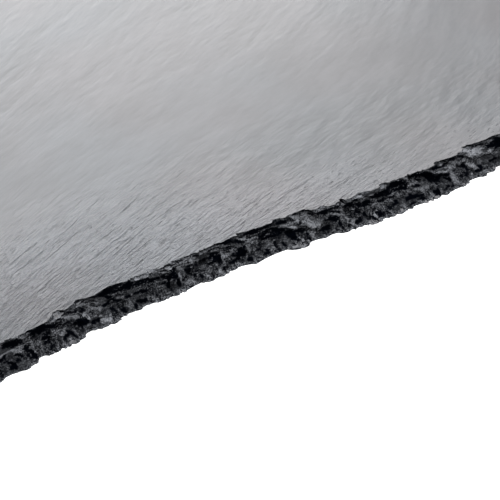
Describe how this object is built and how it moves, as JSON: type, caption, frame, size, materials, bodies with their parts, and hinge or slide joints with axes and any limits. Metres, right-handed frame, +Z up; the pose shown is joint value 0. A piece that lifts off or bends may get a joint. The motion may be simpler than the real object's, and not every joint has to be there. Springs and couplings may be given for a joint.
{
  "type": "slate slab",
  "caption": "Thin rectangular slab of riven slate with a hand-chipped edge all round, lying flat on its back.",
  "frame": {"origin": "middle of the flat underside", "axes": "+X along the slab's length, +Y across it, +Z up out of the split face"},
  "size_m": [0.2992, 0.1992, 0.0058],
  "materials": {
    "slate": "riven blue-grey slate, dull sheen and fine streaks on the split face, darker and rough on the chipped edge"
  },
  "bodies": {
    "root": {"slate_slab": "slate"}
  },
  "joints": []
}
